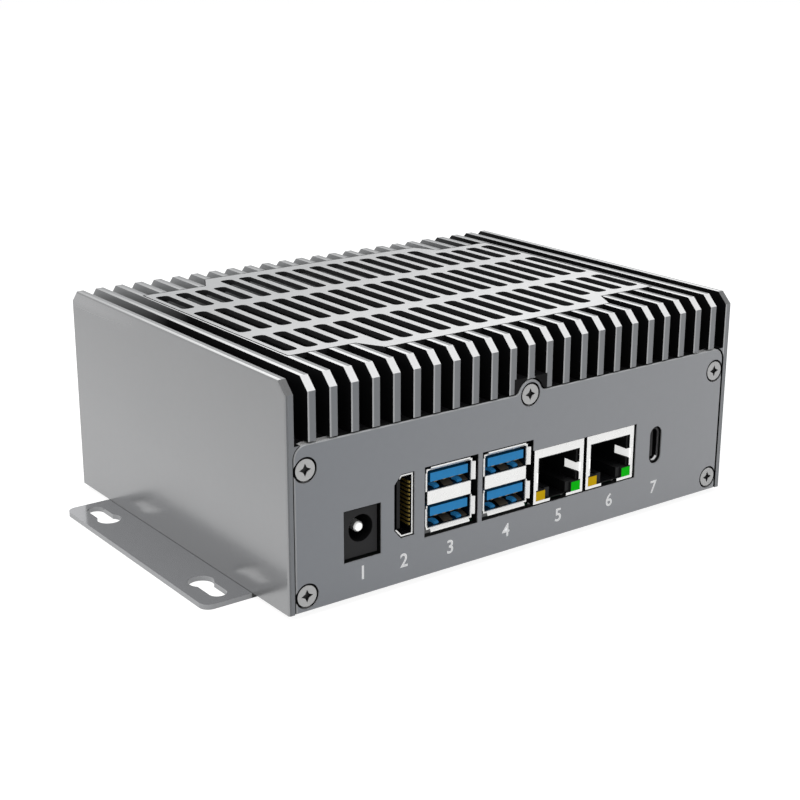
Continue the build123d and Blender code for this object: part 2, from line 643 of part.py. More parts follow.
with BuildPart() as video_socket_core:
    with BuildSketch(behind_front(VIDEO_GAP + VIDEO_LENGTH)):
        add(video_outline.sketch)
        offset(amount=-VIDEO_GAP - VIDEO_WALL)
    extrude(amount=VIDEO_BACK_LENGTH)
    with BuildSketch(behind_front(VIDEO_GAP + VIDEO_LENGTH)):
        with Locations((VIDEO_TONGUE_X, between(VIDEO_LOW, VIDEO_HIGH))):
            Rectangle(VIDEO_TONGUE_THICKNESS, VIDEO_TONGUE_HEIGHT)
        with Locations((video_wall_inside - VIDEO_LINER_THICKNESS / 2, between(VIDEO_LOW, VIDEO_HIGH))):
            Rectangle(VIDEO_LINER_THICKNESS, VIDEO_TONGUE_HEIGHT)
    extrude(amount=VIDEO_LENGTH - VIDEO_TONGUE_SETBACK)
video_socket_core.part.label = "video_socket_core"
export_step(video_socket_core.part, "parts/video_socket_core.step")

contact_x = video_wall_inside - VIDEO_LINER_THICKNESS - VIDEO_CONTACT_THICKNESS / 2
with BuildPart() as video_socket_contacts:
    with BuildSketch(behind_front(VIDEO_GAP + VIDEO_LENGTH - VIDEO_BACK_LENGTH)):
        with Locations((contact_x, between(VIDEO_LOW, VIDEO_HIGH))):
            with GridLocations(0, VIDEO_CONTACT_PITCH, 1, VIDEO_CONTACT_COUNT):
                Rectangle(VIDEO_CONTACT_THICKNESS, VIDEO_CONTACT_WIDTH)
    extrude(amount=VIDEO_LENGTH - VIDEO_BACK_LENGTH - 2 * VIDEO_TONGUE_SETBACK)
video_socket_contacts.part.label = "video_socket_contacts"
export_step(video_socket_contacts.part, "parts/video_socket_contacts.step")


# Data sockets: a shell with two openings and flared lips, blue tongues and contacts
opening_bands = [(STACK_LOW + STACK_WALL, BAND_LOW), (BAND_HIGH, STACK_HIGH - STACK_WALL)]
stack_inside = STACK_WIDTH - 2 * STACK_WALL
notch_height = BAND_HIGH - BAND_LOW + 2 * BAND_NOTCH_MARGIN
stack_hollow = STACK_LENGTH - STACK_BACK_LENGTH
body_front_y = STACK_SETBACK - CASE_DEPTH / 2
lip_front_y = LIP_SETBACK - CASE_DEPTH / 2


def lip_section(wall, outward):
    """Corners of a lip that flares from the front of a wall: place across the opening, then Y."""
    inner = wall - outward * STACK_WALL
    shift = outward * LIP_REACH
    return [(inner, body_front_y), (wall, body_front_y),
            (wall + shift, lip_front_y), (inner + shift, lip_front_y)]


with BuildPart() as data_socket_shells:
    for x in STACK_X:
        with BuildSketch(behind_front(STACK_SETBACK)):
            with Locations((x, between(STACK_LOW, STACK_HIGH))):
                Rectangle(STACK_WIDTH, stack_height)
        extrude(amount=-STACK_LENGTH)
        with BuildSketch(behind_front(STACK_SETBACK)):
            for low, high in opening_bands:
                with Locations((x, between(low, high))):
                    Rectangle(stack_inside, high - low)
        extrude(amount=-stack_hollow, mode=Mode.SUBTRACT)
        # The side walls end behind the band between the openings
        with BuildSketch(behind_front(STACK_SETBACK)):
            with Locations((x, between(BAND_LOW, BAND_HIGH))):
                Rectangle(STACK_WIDTH, notch_height)
                Rectangle(stack_inside, notch_height, mode=Mode.SUBTRACT)
        extrude(amount=-BAND_NOTCH_DEPTH, mode=Mode.SUBTRACT)
        # Lips at the sides of each opening, then above and below the pair
        for low, high in opening_bands:
            with BuildSketch(Plane.XY.offset(between(low, high))):
                for side in (-1, 1):
                    Polygon(*lip_section(x + side * STACK_WIDTH / 2, side), align=None)
            extrude(amount=SIDE_LIP_HEIGHT / 2, both=True)
        with BuildSketch(Plane.YZ.offset(x)):
            for level, side in ((STACK_LOW, -1), (STACK_HIGH, 1)):
                Polygon(*[(y, z) for z, y in lip_section(above(level), side)], align=None)
        extrude(amount=LIP_WIDTH / 2, both=True)
        with BuildSketch(behind_front(PANEL_THICKNESS + BOARD_FRONT_GAP)):
            with Locations((x, above(SOCKET_REST))):
                Rectangle(STACK_WIDTH, STACK_LOW - SOCKET_REST, align=(Align.CENTER, Align.MIN))
        extrude(amount=-(STACK_LENGTH + STACK_SETBACK - PANEL_THICKNESS - BOARD_FRONT_GAP))
data_socket_shells.part.label = "data_socket_shells"
export_step(data_socket_shells.part, "parts/data_socket_shells.step")

tongue_centres = [(x, between(high - TONGUE_DROP - TONGUE_THICKNESS, high - TONGUE_DROP))
                  for x in STACK_X for low, high in opening_bands]
with BuildPart() as data_socket_tongues:
    with BuildSketch(behind_front(STACK_SETBACK + stack_hollow)):
        with Locations(tongue_centres):
            Rectangle(TONGUE_WIDTH, TONGUE_THICKNESS)
    extrude(amount=stack_hollow - TONGUE_SETBACK)
data_socket_tongues.part.label = "data_socket_tongues"
export_step(data_socket_tongues.part, "parts/data_socket_tongues.step")

with BuildPart() as data_socket_contacts:
    with BuildSketch(behind_front(STACK_SETBACK + 2 * TONGUE_SETBACK)):
        for x, level in tongue_centres:
            with Locations((x, level - TONGUE_THICKNESS / 2 - DATA_CONTACT_SIZE[2] / 2)):
                with GridLocations(DATA_CONTACT_PITCH, 0, DATA_CONTACT_COUNT, 1):
                    Rectangle(DATA_CONTACT_SIZE[0], DATA_CONTACT_SIZE[2])
    extrude(amount=-DATA_CONTACT_SIZE[1])
data_socket_contacts.part.label = "data_socket_contacts"
export_step(data_socket_contacts.part, "parts/data_socket_contacts.step")


# Network sockets: a metal shell with side springs, a moulded core and two lamps each
core_width = NETWORK_WIDTH - 2 * NETWORK_WALL
core_height = network_height - 2 * NETWORK_WALL
lamp_x = (LAMP_ROW_WIDTH - LAMP_SIZE[0]) / 2
spring_front_y = NETWORK_SETBACK - CASE_DEPTH / 2
with BuildPart() as network_socket_shells:
    for x in NETWORK_X:
        with BuildSketch(behind_front(NETWORK_SETBACK)):
            with Locations((x, between(NETWORK_LOW, NETWORK_HIGH))):
                Rectangle(NETWORK_WIDTH, network_height)
        extrude(amount=-NETWORK_LENGTH)
        with BuildSketch(behind_front(NETWORK_SETBACK + NETWORK_WALL)):
            with Locations((x, between(NETWORK_LOW, NETWORK_HIGH))):
                Rectangle(core_width, core_height)
        extrude(amount=-NETWORK_LENGTH, mode=Mode.SUBTRACT)
        with BuildSketch(behind_front(NETWORK_SETBACK)):
            with Locations((x, between(NETWORK_SHELF, NETWORK_MOUTH_HIGH))):
                Rectangle(NETWORK_MOUTH_WIDTH, NETWORK_MOUTH_HIGH - NETWORK_SHELF)
            with Locations((x, between(LAMP_ROW_LOW, NETWORK_SHELF))):
                Rectangle(LAMP_ROW_WIDTH, NETWORK_SHELF - LAMP_ROW_LOW)
        extrude(amount=-NETWORK_WALL, mode=Mode.SUBTRACT)
        with BuildSketch(Plane.XY.offset(between(SPRING_LOW, SPRING_HIGH))):
            for side in (-1, 1):
                front_x = x + side * NETWORK_MOUTH_WIDTH / 2
                rear_x = front_x - side * SPRING_BEND
                Polygon((front_x, spring_front_y),
                        (front_x + side * SPRING_THICKNESS, spring_front_y),
                        (rear_x + side * SPRING_THICKNESS, spring_front_y + SPRING_LENGTH),
                        (rear_x, spring_front_y + SPRING_LENGTH),
                        align=None)
        extrude(amount=(SPRING_HIGH - SPRING_LOW) / 2, both=True)
        with BuildSketch(behind_front(PANEL_THICKNESS + BOARD_FRONT_GAP)):
            with Locations((x, above(SOCKET_REST))):
                Rectangle(NETWORK_WIDTH, NETWORK_LOW - SOCKET_REST, align=(Align.CENTER, Align.MIN))
        extrude(amount=-(NETWORK_LENGTH + NETWORK_SETBACK - PANEL_THICKNESS - BOARD_FRONT_GAP))
        # Way for the latch, cut up from the board
        with BuildSketch(behind_front(NETWORK_SETBACK)):
            with Locations((x, between(SOCKET_REST, LAMP_ROW_LOW))):
                Rectangle(LATCH_WIDTH, LAMP_ROW_LOW - SOCKET_REST)
        extrude(amount=-LATCH_DEPTH, mode=Mode.SUBTRACT)
network_socket_shells.part.label = "network_socket_shells"
export_step(network_socket_shells.part, "parts/network_socket_shells.step")

with BuildPart() as network_socket_cores:
    for x in NETWORK_X:
        with BuildSketch(behind_front(NETWORK_SETBACK + NETWORK_WALL)):
            with Locations((x, between(NETWORK_LOW, NETWORK_HIGH))):
                Rectangle(core_width, core_height)
        extrude(amount=-(NETWORK_LENGTH - NETWORK_WALL))
        with BuildSketch(behind_front(NETWORK_SETBACK + NETWORK_WALL)):
            with Locations((x, between(NETWORK_SHELF, PLUG_HIGH))):
                Rectangle(PLUG_WIDTH, PLUG_HIGH - NETWORK_SHELF)
            with Locations((x, between(LAMP_ROW_LOW, NETWORK_SHELF))):
                Rectangle(LATCH_WIDTH, NETWORK_SHELF - LAMP_ROW_LOW)
        extrude(amount=-PLUG_DEPTH, mode=Mode.SUBTRACT)
        with BuildSketch(behind_front(NETWORK_SETBACK + NETWORK_WALL)):
            with Locations((x, between(SPRING_LOW, SPRING_HIGH))):
                Rectangle(NETWORK_MOUTH_WIDTH + 2 * SPRING_THICKNESS, SPRING_HIGH - SPRING_LOW)
        extrude(amount=-(SPRING_LENGTH - NETWORK_WALL), mode=Mode.SUBTRACT)
        with BuildSketch(behind_front(NETWORK_SETBACK + NETWORK_WALL)):
            for side in (-1, 1):
                with Locations((x + side * lamp_x, between(LAMP_ROW_LOW, NETWORK_SHELF))):
                    Rectangle(LAMP_SIZE[0], NETWORK_SHELF - LAMP_ROW_LOW)
        extrude(amount=-(LAMP_SIZE[1] - NETWORK_WALL), mode=Mode.SUBTRACT)
network_socket_cores.part.label = "network_socket_cores"
export_step(network_socket_cores.part, "parts/network_socket_cores.step")


def lamps(side):
    """The lamp on the given side of each network socket."""
    with BuildPart() as pair:
        with BuildSketch(behind_front(NETWORK_SETBACK)):
            for x in NETWORK_X:
                with Locations((x + side * lamp_x, above(LAMP_ROW_LOW))):
                    Rectangle(LAMP_SIZE[0], LAMP_SIZE[2], align=(Align.CENTER, Align.MIN))
        extrude(amount=-LAMP_SIZE[1])
    return pair.part


with BuildPart() as network_lamps_amber:
    add(lamps(-1))
network_lamps_amber.part.label = "network_lamps_amber"
export_step(network_lamps_amber.part, "parts/network_lamps_amber.step")

with BuildPart() as network_lamps_green:
    add(lamps(1))
network_lamps_green.part.label = "network_lamps_green"
export_step(network_lamps_green.part, "parts/network_lamps_green.step")


# Small oval socket, standing upright on a foot
oval_front = behind_front(OVAL_SETBACK)
oval_hole = (OVAL_SIZE[0] - 2 * OVAL_WALL, OVAL_SIZE[1] - 2 * OVAL_WALL)
with BuildPart() as oval_socket_shell:
    with BuildSketch(oval_front):
        with Locations((OVAL_X, above(OVAL_LEVEL))):
            SlotOverall(*OVAL_SIZE, rotation=90)
            SlotOverall(*oval_hole, rotation=90, mode=Mode.SUBTRACT)
    extrude(amount=-OVAL_LENGTH)
    with BuildSketch(behind_front(PANEL_THICKNESS + BOARD_FRONT_GAP)):
        with Locations((OVAL_X, above(SOCKET_REST))):
            Rectangle(OVAL_SIZE[1], OVAL_LEVEL - SOCKET_REST, align=(Align.CENTER, Align.MIN))
        with Locations((OVAL_X, above(OVAL_LEVEL))):
            SlotOverall(*OVAL_SIZE, rotation=90, mode=Mode.SUBTRACT)
    extrude(amount=-(OVAL_LENGTH + OVAL_SETBACK - PANEL_THICKNESS - BOARD_FRONT_GAP))
oval_socket_shell.part.label = "oval_socket_shell"
export_step(oval_socket_shell.part, "parts/oval_socket_shell.step")

with BuildPart() as oval_socket_tongue:
    with BuildSketch(behind_front(OVAL_SETBACK + OVAL_LENGTH)):
        with Locations((OVAL_X, above(OVAL_LEVEL))):
            SlotOverall(*oval_hole, rotation=90)
    extrude(amount=OVAL_BACK_LENGTH)
    with BuildSketch(behind_front(OVAL_SETBACK + OVAL_LENGTH)):
        with Locations((OVAL_X, above(OVAL_LEVEL))):
            Rectangle(*OVAL_TONGUE)
    extrude(amount=OVAL_LENGTH - OVAL_TONGUE_SETBACK)
oval_socket_tongue.part.label = "oval_socket_tongue"
export_step(oval_socket_tongue.part, "parts/oval_socket_tongue.step")


# Compute module: its socket, two posts, the module board and the chips on it
module_front_y = MODULE_Y - MODULE_SIZE[1] / 2
module_rear_y = MODULE_Y + MODULE_SIZE[1] / 2
with BuildPart() as module_socket:
    with Locations((0, module_front_y, above(SOCKET_REST))):
        Box(MODULE_SIZE[0], MODULE_SOCKET_DEPTH, MODULE_LIFT, align=lowest)
module_socket.part.label = "module_socket"
export_step(module_socket.part, "parts/module_socket.step")

with BuildPart() as module_posts:
    with Locations([(side * POST_X, module_rear_y - POST_INSET, above(SOCKET_REST)) for side in (-1, 1)]):
        Cylinder(POST_RADIUS, MODULE_LIFT, align=lowest)
module_posts.part.label = "module_posts"
export_step(module_posts.part, "parts/module_posts.step")

with BuildPart() as compute_module:
    with Locations((0, MODULE_Y, above(SOCKET_REST + MODULE_LIFT))):
        Box(*MODULE_SIZE, align=lowest)
compute_module.part.label = "compute_module"
export_step(compute_module.part, "parts/compute_module.step")

with BuildPart() as processor_chip:
    with Locations((0, MODULE_Y, above(module_top))):
        Box(*CHIP_SIZE, align=lowest)
processor_chip.part.label = "processor_chip"
export_step(processor_chip.part, "parts/processor_chip.step")

with BuildPart() as memory_chips:
    with Locations([(x, y, above(module_top)) for x in MEMORY_X for y in MEMORY_Y]):
        Box(*MEMORY_SIZE, align=lowest)
memory_chips.part.label = "memory_chips"
export_step(memory_chips.part, "parts/memory_chips.step")


# Heat path: a pad on the chip, an aluminium block and a pad under the deck
with BuildPart() as thermal_pads:
    with Locations((0, MODULE_Y, above(chip_top))):
        Box(CHIP_SIZE[0], CHIP_SIZE[1], PAD_THICKNESS, align=lowest)
    with Locations((0, MODULE_Y, above(deck_bottom))):
        Box(*HEAT_BLOCK_SIZE, PAD_THICKNESS, align=highest)
thermal_pads.part.label = "thermal_pads"
export_step(thermal_pads.part, "parts/thermal_pads.step")

with BuildPart() as heat_block:
    with Locations((0, MODULE_Y, above(heat_block_bottom))):
        Box(*HEAT_BLOCK_SIZE, heat_block_height, align=lowest)
heat_block.part.label = "heat_block"
export_step(heat_block.part, "parts/heat_block.step")


# Storage card in its socket, with a post under its far end
card_rear_y = card_front_y + CARD_SIZE[1]
with BuildPart() as storage_socket:
    with Locations((CARD_X, card_front_y, above(SOCKET_REST))):
        Box(*CARD_SOCKET_SIZE, align=lowest)
    with Locations((CARD_X, card_front_y, above(SOCKET_REST + CARD_LIFT))):
        Box(CARD_SIZE[0], CARD_SOCKET_SIZE[1] / 2, CARD_SIZE[2], align=from_front, mode=Mode.SUBTRACT)
    with Locations((CARD_X, card_rear_y - POST_RADIUS, above(SOCKET_REST))):
        Cylinder(POST_RADIUS, CARD_LIFT, align=lowest)
storage_socket.part.label = "storage_socket"
export_step(storage_socket.part, "parts/storage_socket.step")

with BuildPart() as storage_card:
    with Locations((CARD_X, card_front_y, above(SOCKET_REST + CARD_LIFT))):
        Box(*CARD_SIZE, align=from_front)
    with Locations((CARD_X, card_front_y + CARD_SIZE[1] / 2, above(SOCKET_REST + CARD_LIFT + CARD_SIZE[2]))):
        with GridLocations(0, CARD_CHIP_PITCH, 1, 2):
            Box(*CARD_CHIP_SIZE, align=lowest)
storage_card.part.label = "storage_card"
export_step(storage_card.part, "parts/storage_card.step")


# Power parts on the board
with BuildPart() as power_coils:
    with Locations((COIL_X, 0, above(SOCKET_REST))):
        with GridLocations(0, COIL_PITCH, 1, COIL_COUNT):
            Box(*COIL_SIZE, align=lowest)
power_coils.part.label = "power_coils"
export_step(power_coils.part, "parts/power_coils.step")

with BuildPart() as capacitors:
    with Locations((CAPACITOR_X, 0, above(SOCKET_REST))):
        with GridLocations(0, CAPACITOR_PITCH, 1, CAPACITOR_COUNT):
            Cylinder(CAPACITOR_RADIUS, CAPACITOR_HEIGHT, align=lowest)
capacitors.part.label = "capacitors"
export_step(capacitors.part, "parts/capacitors.step")
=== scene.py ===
# %% [markdown]
# # A finned computer case, dressed for its picture
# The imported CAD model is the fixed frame: it gives every metal and plastic piece at its real size and place.
# This lesson gives each piece its finish, adds the small parts that are easier to make as meshes, and ends
# with lights and a camera. Loading the frame first means that nothing here can drift from the CAD.

# %% Load the frame
import math

import bpy
from mathutils import Matrix, Vector


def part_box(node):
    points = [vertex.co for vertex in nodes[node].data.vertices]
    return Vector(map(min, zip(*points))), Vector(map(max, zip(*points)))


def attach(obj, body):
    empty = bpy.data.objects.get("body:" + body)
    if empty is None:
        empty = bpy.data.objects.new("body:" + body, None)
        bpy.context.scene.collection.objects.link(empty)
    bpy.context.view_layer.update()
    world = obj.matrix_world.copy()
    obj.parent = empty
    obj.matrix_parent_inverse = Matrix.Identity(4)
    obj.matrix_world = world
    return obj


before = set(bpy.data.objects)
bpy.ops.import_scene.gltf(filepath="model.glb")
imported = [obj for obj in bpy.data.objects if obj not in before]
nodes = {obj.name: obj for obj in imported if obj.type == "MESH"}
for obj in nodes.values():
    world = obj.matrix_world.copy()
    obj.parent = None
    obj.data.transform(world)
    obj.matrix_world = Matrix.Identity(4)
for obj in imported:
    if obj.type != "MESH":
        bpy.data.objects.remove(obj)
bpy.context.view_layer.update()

MM = 0.001

# %% [markdown]
# ## Where the case lies
# Many finishes change from face to face, and a face is told by its place. The places could be typed in, but
# they are measured from the boxes of the CAD's own pieces, so that they still fit when the case changes.

# %% Measure the case
def box_mm(name):
    """The lowest and the highest corner of a CAD node, in millimetres."""
    low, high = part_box(name)
    return low / MM, high / MM


case_low, case_high = box_mm("finned_housing")
FRONT, UNDERSIDE = case_low.y, case_low.z
HALF_WIDTH, HALF_DEPTH, FIN_TOP = case_high
print("case: %.1f wide, %.1f deep, top at %.1f mm" % (2 * HALF_WIDTH, 2 * HALF_DEPTH, FIN_TOP))

# %% [markdown]
# ## Shader maths that reads like maths
# A finish is worked out from masks and noises, and each sum or product of those is a Math node. Wiring them
# by hand is slow to read, so one small class wraps a socket and turns +, -, * and / into nodes. Masks come
# from two more methods: 0 on one side of a level, 1 on the other.

# %% A socket that can be reckoned with
class Wire:
    """One output socket; arithmetic on it adds Math nodes to its tree."""

    def __init__(self, maker, socket):
        self.maker = maker
        self.socket = socket

    def _math(self, operation, first, second):
        return self.maker.add("ShaderNodeMath", {"operation": operation}, {0: first, 1: second})

    def __add__(self, other):
        return self._math("ADD", self, other)

    def __radd__(self, other):
        return self._math("ADD", other, self)

    def __sub__(self, other):
        return self._math("SUBTRACT", self, other)

    def __rsub__(self, other):
        return self._math("SUBTRACT", other, self)

    def __mul__(self, other):
        return self._math("MULTIPLY", self, other)

    def __rmul__(self, other):
        return self._math("MULTIPLY", other, self)

    def __truediv__(self, other):
        return self._math("DIVIDE", self, other)

    def __rtruediv__(self, other):
        return self._math("DIVIDE", other, self)

    def __abs__(self):
        return self._math("ABSOLUTE", self, 0.0)

    def fraction(self):
        return self._math("FRACT", self, 0.0)

    def clipped(self):
        """Kept between 0 and 1."""
        settings = {"operation": "ADD", "use_clamp": True}
        return self.maker.add("ShaderNodeMath", settings, {0: self, 1: 0.0})

    def over(self, level, sharp=10.0):
        """A mask: 0 under a level and 1 over it, with a short ramp between."""
        return ((self - level) * sharp + 0.5).clipped()

    def under(self, level, sharp=10.0):
        """The opposite mask: 1 under a level and 0 over it."""
        return ((level - self) * sharp + 0.5).clipped()


print("wires ready")

# %% [markdown]
# ## One way to make a node
# Blender takes several lines to make one node and join it up. Here a single method makes any node: its
# settings come first, because they can change its sockets, and then the values or links. It works on any
# tree, so the materials and the sky share it.

# %% Add any node
class NodeMaker:
    """Adds nodes to one tree."""

    def __init__(self, tree):
        self.tree = tree

    def add(self, kind, settings=None, sockets=None, output=0):
        node = self.tree.nodes.new(kind)
        for key, value in (settings or {}).items():
            setattr(node, key, value)
        for key, value in (sockets or {}).items():
            self.feed(node.inputs[key], value)
        return Wire(self, node.outputs[output])

    def feed(self, socket, value):
        """Links a wire to a socket, or sets a plain value on it."""
        if isinstance(value, Wire):
            self.tree.links.new(value.socket, socket)
        else:
            socket.default_value = (*value[:3], 1.0) if socket.type == "RGBA" else value


print("node maker ready")

# %% [markdown]
# ## What every finish is made of
# Each surface is one Principled shader, fed by place, direction and noise. Image textures would need a flat
# map of every piece. Place and direction are known at each point of the model, and they don't depend on the
# camera, so a finish made from them looks the same from every side.

# %% A material and its usual parts
class Finish(NodeMaker):
    """One material that starts with a Principled shader."""

    def __init__(self, name, **constants):
        self.material = bpy.data.materials.new(name)
        self.material.use_nodes = True
        super().__init__(self.material.node_tree)
        self.shader = self.tree.nodes["Principled BSDF"]
        self.set(**constants)

    def set(self, **values):
        """Sockets of the shader, named in Python's way: base_color is Base Color."""
        for key, value in values.items():
            title = key.replace("_", " ").title().replace("Ior", "IOR")
            self.feed(self.shader.inputs[title], value)

    def place(self, stretch=(1, 1, 1)):
        """Position on the piece in millimetres, times a factor for each axis."""
        point = self.add("ShaderNodeTexCoord", output="Object")
        factors = [factor / MM for factor in stretch]
        return self.add("ShaderNodeVectorMath", {"operation": "MULTIPLY"}, {0: point, 1: factors})

    def spot(self, letter):
        """Place in the frame along one axis, in millimetres."""
        return self._part_of("Position", letter) / MM

    def facing(self, letter):
        """How far a face looks along one axis, from -1 to 1."""
        return self._part_of("Normal", letter)

    def _part_of(self, title, letter):
        vector = self.add("ShaderNodeNewGeometry", output=title)
        return self.add("ShaderNodeSeparateXYZ", {}, {0: vector}, output="XYZ".index(letter))

    def noise(self, scale, detail=3.0, stretch=(1, 1, 1)):
        sockets = {"Vector": self.place(stretch), "Scale": scale, "Detail": detail}
        return self.add("ShaderNodeTexNoise", {}, sockets)

    def blend(self, factor, first, second):
        """Two colours mixed by a factor."""
        return self.add("ShaderNodeMix", {"data_type": "RGBA"}, {0: factor, 6: first, 7: second}, output=2)

    def vary(self, colour, amount, spread):
        """A colour made a little darker or lighter by an amount that runs from 0 to 1."""
        factor = amount * (2 * spread) + (1 - spread)
        return self.add("ShaderNodeVectorMath", {"operation": "SCALE"}, {0: colour, "Scale": factor})

    def rounded_normal(self, radius_mm):
        return self.add("ShaderNodeBevel", {"samples": 4}, {"Radius": radius_mm * MM})

    def edges(self, radius_mm):
        """1 on outer and inner edges, 0 on flat faces, where the rounded normal is the true one."""
        true_normal = self.add("ShaderNodeNewGeometry", output="Normal")
        likeness = self.add("ShaderNodeVectorMath", {"operation": "DOT_PRODUCT"},
                            {0: self.rounded_normal(radius_mm), 1: true_normal}, output="Value")
        return ((1 - likeness) * 3).clipped()

    def relief(self, height, strength, depth_mm, edge_mm=0.0):
        """A bump from a height, over softly rounded edges where an edge radius is given."""
        sockets = {"Height": height, "Strength": strength, "Distance": depth_mm * MM}
        if edge_mm:
            sockets["Normal"] = self.rounded_normal(edge_mm)
        self.set(normal=self.add("ShaderNodeBump", {}, sockets))


def shade(colour, factor):
    """The same colour, darker or lighter."""
    return tuple(min(1.0, part * factor) for part in colour)


print("finish maker ready")

# %% [markdown]
# ## The case: blasted and anodised, with painted light and shade
# The real case is blasted with fine grit and anodised grey, and the outer walls are the smoothest faces.
# Its grey is painted lighter or darker by the way each face lies: painted highlights on the slopes and
# on the left edges of the fins, and painted shade deep in the grooves. Each face could be given a
# material of its own, but one material can tell them apart by where they lie and which way they look,
# and the CAD piece stays whole. A noise at the grain's true size makes the bump, because an image of
# grain would repeat and blur.

# %% Tones and places on the case
# Painted shade: the walls and floors of the grooves are near black.
GROOVE_SHADE_TONE = (0.005, 0.005, 0.0055)
# Painted highlight: slopes that look up and forward, and glints on the fins' left edges.
PAINTED_HIGHLIGHT_TONE = (0.84, 0.845, 0.85)
TOP_TONE = (0.32, 0.325, 0.33)
LEFT_END_TONE = (0.260, 0.271, 0.286)
RIGHT_END_TONE = (0.328, 0.336, 0.349)
WALL_TONE = (0.330, 0.333, 0.338)
# Painted shade: a dark line on the outer front edge of each side wall.
WALL_EDGE_SHADE_TONE = (0.13, 0.135, 0.14)
# Painted light: the upper walls of the grooves, lighter towards the rear.
SHALLOW_LIT_TONE = (0.30, 0.305, 0.31)

FIN_PITCH = 5.5
FIN_THICKNESS = 2.0
FACE_MARGIN = 0.3               # a mask starts this far inside the true place of its face
WALL_EDGE = 0.65                # soft outer edge of a side wall
END_GLINT = 0.4                 # bright left edge of a fin's end
TOP_GLINT = 1.0                 # bright left part of a fin's top
SPINE_SIDES = (1.2, 5.0)        # the raised floor beside the middle fin, on both sides
SPINE_LEVEL = UNDERSIDE + 42.1
SHALLOW_LEVEL = FIN_TOP - 3.4   # the top of a groove's wall, which gets some light towards the rear
SHALLOW_START = 25.0
SHALLOW_RIGHT = 45.0
WALL_SHADE_LEVEL = 38.0          # a side wall is darker above this
LOOKS_ALONG = 0.85              # a face looks straight along an axis
LEANS = 0.5                     # a face leans that way

print("tones and places for", round((2 * HALF_WIDTH - FIN_THICKNESS) / FIN_PITCH) + 1, "fins")


# %% Make the case's finish
def across_front(finish, left_tone, right_tone):
    """Painted light and shade: the front is a little lighter towards its right end."""
    return finish.blend((finish.spot("X") / 150 + 0.5).clipped(), left_tone, right_tone)


def case_metal(name):
    metal = Finish(name, specular_ior_level=0.08)
    x, along, height = metal.spot("X"), metal.spot("Y"), metal.spot("Z")
    up, endways, sideways = metal.facing("Z"), abs(metal.facing("Y")), abs(x)
    wall = sideways.over(HALF_WIDTH - WALL_EDGE)
    slope = up.over(LEANS) * endways.over(LEANS)
    top = up.over(LOOKS_ALONG) * height.over(FIN_TOP - FACE_MARGIN)
    spine = sideways.over(SPINE_SIDES[0]) * sideways.under(SPINE_SIDES[1]) * height.under(SPINE_LEVEL)
    # The raised floor's front is left out of the ends, so it keeps the grooves' painted shade.
    end = endways.over(LOOKS_ALONG) * abs(along).over(HALF_DEPTH - FACE_MARGIN) * (1 - spine)
    shallow = height.over(SHALLOW_LEVEL, 0.4) * along.over(SHALLOW_START, 0.032) * x.under(SHALLOW_RIGHT, 0.1)

    # Painted highlight: a glint on the left edge of each fin's end and top, fading to the rear on tops.
    from_left = ((x + FIN_THICKNESS / 2) / FIN_PITCH).fraction() * FIN_PITCH
    nearer = (0.6 - along / 110).clipped()
    glint = from_left.under(END_GLINT) * end * (1 - wall) * 0.5 + from_left.under(TOP_GLINT) * top * nearer

    # Painted shade: a side wall is darker towards its top, and its own slopes take a darker copy.
    wall_tone = metal.blend(height.over(WALL_SHADE_LEVEL, 0.03), WALL_TONE, shade(WALL_TONE, 0.84))
    end_tone = metal.blend(wall, across_front(metal, LEFT_END_TONE, RIGHT_END_TONE), WALL_EDGE_SHADE_TONE)
    on_wall = sideways.over(HALF_WIDTH - FIN_THICKNESS - FACE_MARGIN)
    slope_tone = metal.blend(on_wall, PAINTED_HIGHLIGHT_TONE, shade(WALL_TONE, 0.55))
    tone = metal.blend(shallow, GROOVE_SHADE_TONE, SHALLOW_LIT_TONE)
    for mask, mask_tone in ((wall, wall_tone), (end, end_tone), (top, TOP_TONE), (slope, slope_tone),
                            (glint, PAINTED_HIGHLIGHT_TONE)):
        tone = metal.blend(mask, tone, mask_tone)

    cloud, drift = metal.noise(0.6, 4.0), metal.noise(0.05, 2.0)
    metal.set(base_color=metal.vary(tone, cloud * 0.5 + drift * 0.5, 0.04))
    metal.set(metallic=(wall * 0.62 + end * 0.3 + top * 0.3 + slope * 0.4 + shallow * 0.3).clipped())
    metal.set(roughness=0.46 - wall * 0.28 + cloud * 0.06)
    metal.relief(metal.noise(5.0, 2.0), 0.15, 0.02, 0.04)
    return metal.material


print("case finish ready")

# %% [markdown]
# ## The slotted plate
# The plate is cut from sheet, blasted and clear anodised, so it is paler than the case. Its top is
# painted lighter towards the front and the right, each cut edge gets a painted highlight, a fine line of
# light, and the walls of its slots are painted in shade. Bevelled edges in the mesh would need many more
# faces, so the line comes from a mask of the edges, and only faces that look up are bright.

# %% Make the plate's finish
PLATE_LIT_TONE = (0.72, 0.725, 0.73)
PLATE_SHADED_TONE = (0.42, 0.425, 0.43)
PLATE_EDGE_HIGHLIGHT_TONE = (0.86, 0.865, 0.87)
SLOT_SHADE_TONE = (0.02, 0.02, 0.021)
PLATE_DEPTH = 80.0


def plate_metal(name):
    """Painted light and shade: lighter towards the front and the right, dark in the slots' walls."""
    metal = Finish(name, specular_ior_level=0.2)
    top = metal.facing("Z").over(LEANS)
    # Painted shade: the top is darker towards the rear and the left.
    rear = (metal.spot("Y") / PLATE_DEPTH - metal.spot("X") / (2 * PLATE_DEPTH) + 0.5).clipped()
    cloud = metal.noise(0.5, 4.0)
    face = metal.blend(rear, PLATE_LIT_TONE, PLATE_SHADED_TONE)
    face = metal.blend(metal.edges(0.16) * 0.8, face, PLATE_EDGE_HIGHLIGHT_TONE)
    metal.set(base_color=metal.vary(metal.blend(top, SLOT_SHADE_TONE, face), cloud, 0.05))
    metal.set(metallic=top * 0.35, roughness=0.38 + cloud * 0.1)
    metal.relief(metal.noise(5.0, 2.0), 0.15, 0.02, 0.1)
    return metal.material


print("plate finish ready")
